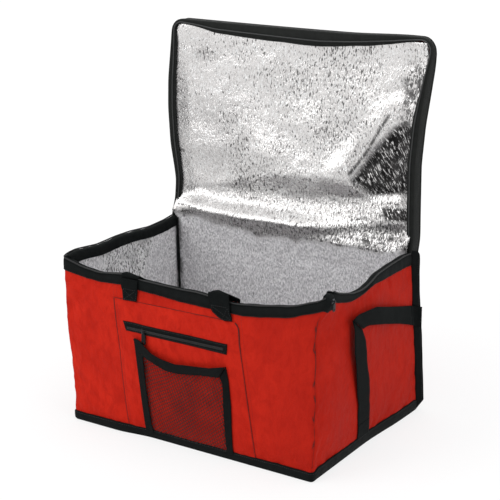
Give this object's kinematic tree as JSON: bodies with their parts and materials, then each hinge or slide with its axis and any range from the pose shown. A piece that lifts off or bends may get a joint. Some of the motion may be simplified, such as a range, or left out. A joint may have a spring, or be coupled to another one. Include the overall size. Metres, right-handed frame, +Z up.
{
  "type": "insulated delivery bag",
  "caption": "Insulated cooler bag with red cloth walls, black bound edges, foil lining, webbing handles, a front mesh pocket and a zip-round lid standing open.",
  "frame": {"origin": "middle of the underside, on the floor", "axes": "+X to the right of someone facing the front pocket, +Y to the back wall, +Z up"},
  "size_m": [0.5888, 0.44, 0.7188],
  "materials": {
    "red_cloth": "woven oxford polyester",
    "black_trim": "polypropylene webbing and binding tape",
    "foil_lining": "aluminised foil film, bright and creased",
    "foam": "closed-cell polyethylene foam",
    "base_board": "plain board",
    "zinc": "plated zinc casting",
    "nylon_coil": "moulded nylon",
    "net": "knotted polyester net"
  },
  "bodies": {
    "bag": {"front_outer": "red_cloth", "front_foam": "foam", "front_lining": "foil_lining", "back_outer": "red_cloth", "back_foam": "foam", "back_lining": "foil_lining", "left_outer": "red_cloth", "left_foam": "foam", "left_lining": "foil_lining", "right_outer": "red_cloth", "right_foam": "foam", "right_lining": "foil_lining", "base_outer": "red_cloth", "base_board": "base_board", "base_foam": "foam", "base_lining": "foil_lining", "bottom_binding": "black_trim", "back_left_seam": "black_trim", "back_right_seam": "black_trim", "inner_left_seam": "black_trim", "inner_right_seam": "black_trim", "rim_band_front": "black_trim", "rim_band_left": "black_trim", "rim_band_right": "black_trim", "rim_zip_front": "nylon_coil", "rim_zip_left": "nylon_coil", "rim_zip_right": "nylon_coil", "front_tab_left": "black_trim", "front_tab_right": "black_trim", "back_tab_left": "black_trim", "back_tab_right": "black_trim", "left_strap_foot": "black_trim", "right_strap_foot": "black_trim", "left_strap_back_end": "black_trim", "right_strap_back_end": "black_trim", "pocket_panel": "red_cloth", "pocket_zip_tape": "black_trim", "pocket_zip_chain": "nylon_coil", "mesh_pocket_net": "net", "mesh_pocket_binding": "black_trim", "hinge_strip": "red_cloth"},
    "lid": {"lid_outer": "red_cloth", "lid_foam": "foam", "lid_lining": "foil_lining", "lid_band": "black_trim", "lid_zip": "nylon_coil", "lid_piping": "black_trim", "lid_hinge_gusset": "red_cloth"},
    "front_handle": {"front_handle": "black_trim"},
    "back_handle": {"back_handle": "black_trim"},
    "right_side_strap": {"right_side_strap": "black_trim"},
    "left_side_strap": {"left_side_strap": "black_trim"},
    "pocket_slider": {"pocket_slider": "zinc"},
    "pocket_pull": {"pocket_pull": "zinc"},
    "main_slider": {"main_slider": "zinc"},
    "main_pull": {"main_pull": "zinc"}
  },
  "joints": [
    {"name": "lid_hinge", "type": "hinge", "parent": "bag", "child": "lid", "pos_m": [0, 0.17847, 0.34449], "axis": [1, 0, 0], "range_deg": [-25, 95.5]},
    {"name": "front_handle_swing", "type": "hinge", "parent": "bag", "child": "front_handle", "pos_m": [-0.1271, -0.18517, 0.30786], "axis": [0.9996, 0.0187, 0.0187], "range_deg": [0, 180]},
    {"name": "back_handle_swing", "type": "hinge", "parent": "bag", "child": "back_handle", "pos_m": [-0.13187, 0.18272, 0.25673], "axis": [1, -0.0001, -0.0001], "range_deg": [0, 135]},
    {"name": "right_strap_swing", "type": "hinge", "parent": "bag", "child": "right_side_strap", "pos_m": [0.28004, 0.00338, 0.04008], "axis": [-0.0217, 0.7734, 0.6335], "range_deg": [0, 100]},
    {"name": "left_strap_swing", "type": "hinge", "parent": "bag", "child": "left_side_strap", "pos_m": [-0.28006, 0.00272, 0.03941], "axis": [-0.0015, -0.7734, -0.634], "range_deg": [0, 100]},
    {"name": "pocket_slide", "type": "slide", "parent": "bag", "child": "pocket_slider", "axis": [0.9998, 0.0129, 0.0129], "range_m": [-0.038, 0.158]},
    {"name": "pocket_pull_swing", "type": "hinge", "parent": "pocket_slider", "child": "pocket_pull", "pos_m": [-0.09051, -0.19238, 0.21157], "axis": [-0.9998, -0.0131, -0.0131], "range_deg": [0, 150]},
    {"name": "main_zip_slide", "type": "slide", "parent": "bag", "child": "main_slider", "axis": [-0.0395, 0.9984, -0.0409], "range_m": [0, 0.322]},
    {"name": "main_pull_swing", "type": "hinge", "parent": "main_slider", "child": "main_pull", "pos_m": [0.29146, -0.16053, 0.33129], "axis": [0.0399, -0.9983, 0.0413], "range_deg": [0, 120]}
  ]
}
